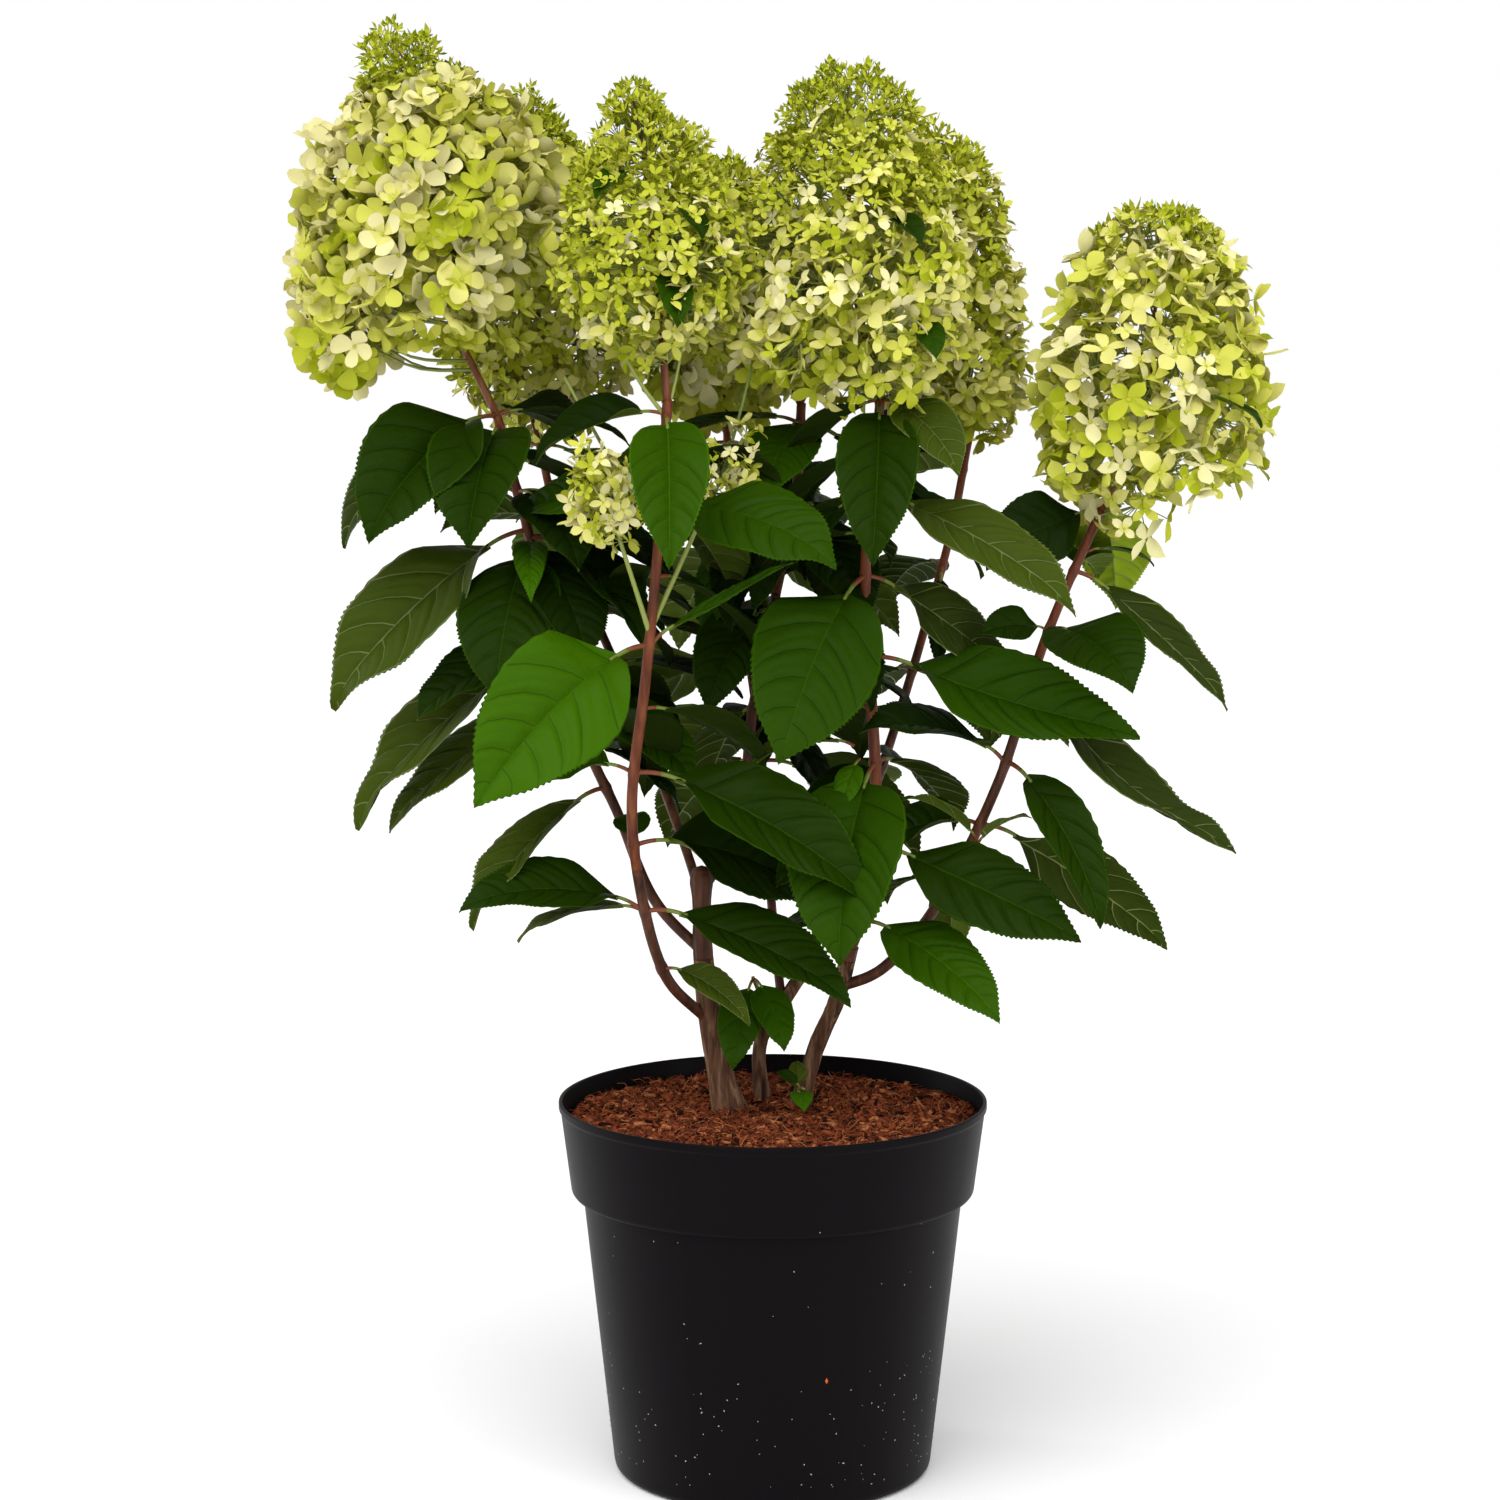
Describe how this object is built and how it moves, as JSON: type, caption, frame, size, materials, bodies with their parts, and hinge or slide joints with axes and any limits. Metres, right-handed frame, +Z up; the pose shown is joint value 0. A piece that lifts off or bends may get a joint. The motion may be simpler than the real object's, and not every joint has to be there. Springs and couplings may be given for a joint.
{
  "type": "potted panicle hydrangea shrub",
  "caption": "Potted panicle hydrangea shrub: woody stems, opposite toothed leaves and broad cream and lime flower heads, growing in a round black nursery pot.",
  "frame": {"origin": "middle of the pot's foot, in the plane that it stands on", "axes": "+Z up along the pot's axis, -Y towards the side that the picture shows, +X to that view's right"},
  "size_m": [0.6079, 0.4314, 0.8798],
  "materials": {
    "pot": "satin",
    "soil": "matte",
    "trunk": "matte",
    "bough": "matte",
    "foliage": "satin",
    "blossom": "matte"
  },
  "bodies": {
    "root": {"pot": "pot", "soil": "soil", "trunk_left": "trunk", "trunk_right": "trunk", "trunk_back": "trunk", "bough_left_front": "bough", "bough_left": "bough", "bough_left_back": "bough", "bough_middle": "bough", "bough_right": "bough", "bough_right_back": "bough", "bough_back": "bough", "foliage_left_front": "foliage", "foliage_left": "foliage", "foliage_left_back": "foliage", "foliage_middle": "foliage", "foliage_right_middle": "foliage", "foliage_right": "foliage", "foliage_right_back": "foliage", "foliage_back": "foliage", "foliage_low": "foliage", "foliage_sprout": "foliage", "blossom_far_left": "blossom", "blossom_left_back": "blossom", "blossom_left_front": "blossom", "blossom_middle": "blossom", "blossom_right_middle": "blossom", "blossom_right_back": "blossom", "blossom_far_right": "blossom", "blossom_back": "blossom", "blossom_side_left": "blossom", "blossom_side_right": "blossom"}
  },
  "joints": []
}
